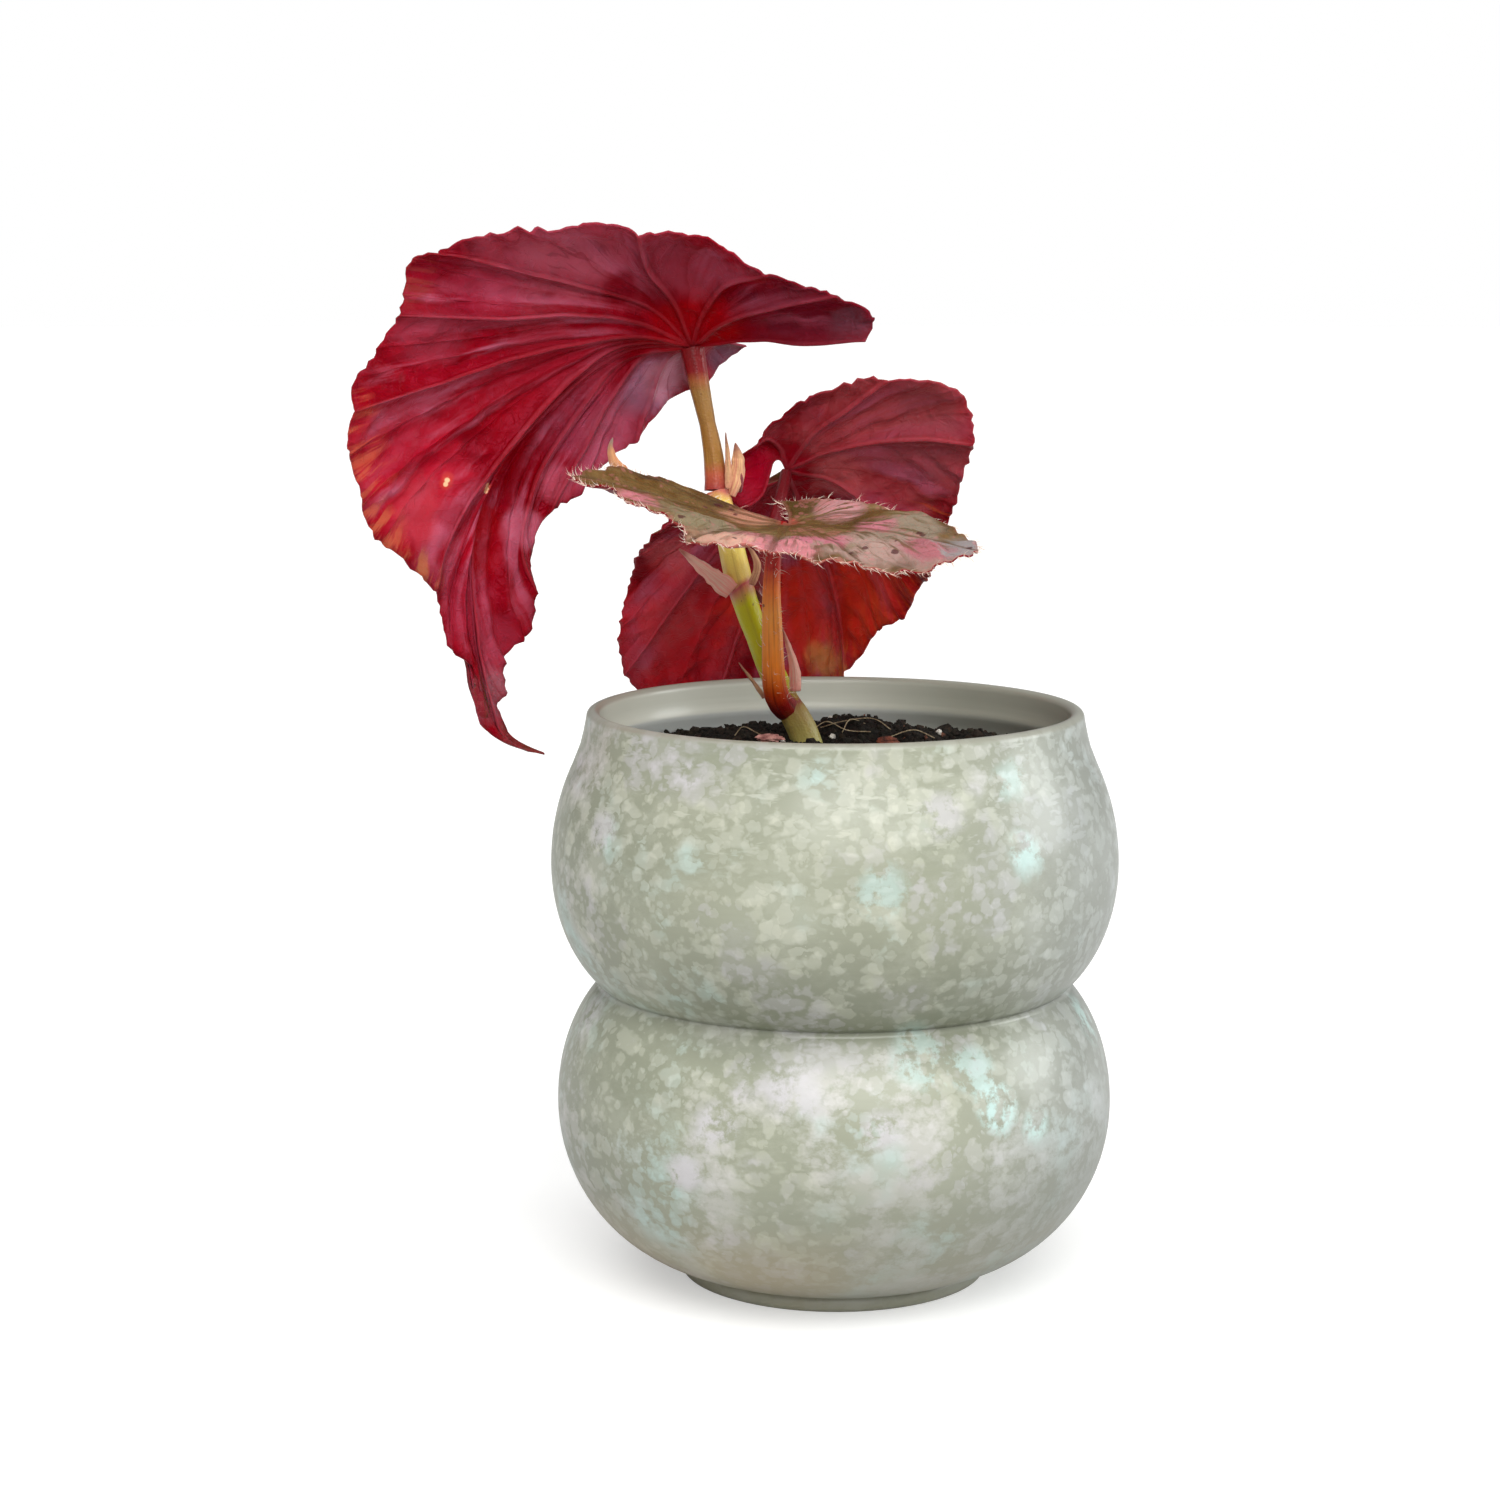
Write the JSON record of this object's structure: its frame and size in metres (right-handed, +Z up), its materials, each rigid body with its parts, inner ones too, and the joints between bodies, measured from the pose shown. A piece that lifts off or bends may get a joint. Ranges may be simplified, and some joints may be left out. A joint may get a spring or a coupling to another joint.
{
  "type": "potted begonia",
  "caption": "Young cane begonia with red-backed pleated leaves on long petioles, growing in a round double-bulb glazed pot filled with dark soil.",
  "frame": {"origin": "on the pot's axis, in the flat face of its foot that it stands on", "axes": "+Z up along the pot's axis, -Y towards the side where the front leaf spreads, +X to that viewer's right"},
  "size_m": [0.1432, 0.1215, 0.2003],
  "materials": {
    "glaze": "gloss",
    "soil": "matte",
    "cane_skin": "satin",
    "leaf_red": "satin",
    "leaf_pink": "satin",
    "papery_pink": "satin",
    "bud_red": "satin",
    "dry_scrap": "matte",
    "perlite": "matte",
    "bark": "matte"
  },
  "bodies": {
    "root": {"pot": "glaze", "potting_soil": "soil", "cane": "cane_skin", "top_leaf": "leaf_red", "back_leaf": "leaf_red", "front_leaf": "leaf_pink", "stipule_1_left": "papery_pink", "stipule_1_right": "papery_pink", "stipule_2_left": "papery_pink", "stipule_2_right": "papery_pink", "stipule_3_narrow": "papery_pink", "stipule_3_broad": "papery_pink", "terminal_bud": "bud_red", "dry_leaf_scrap": "dry_scrap", "perlite_grain": "perlite", "bark_bit": "bark"}
  },
  "joints": []
}
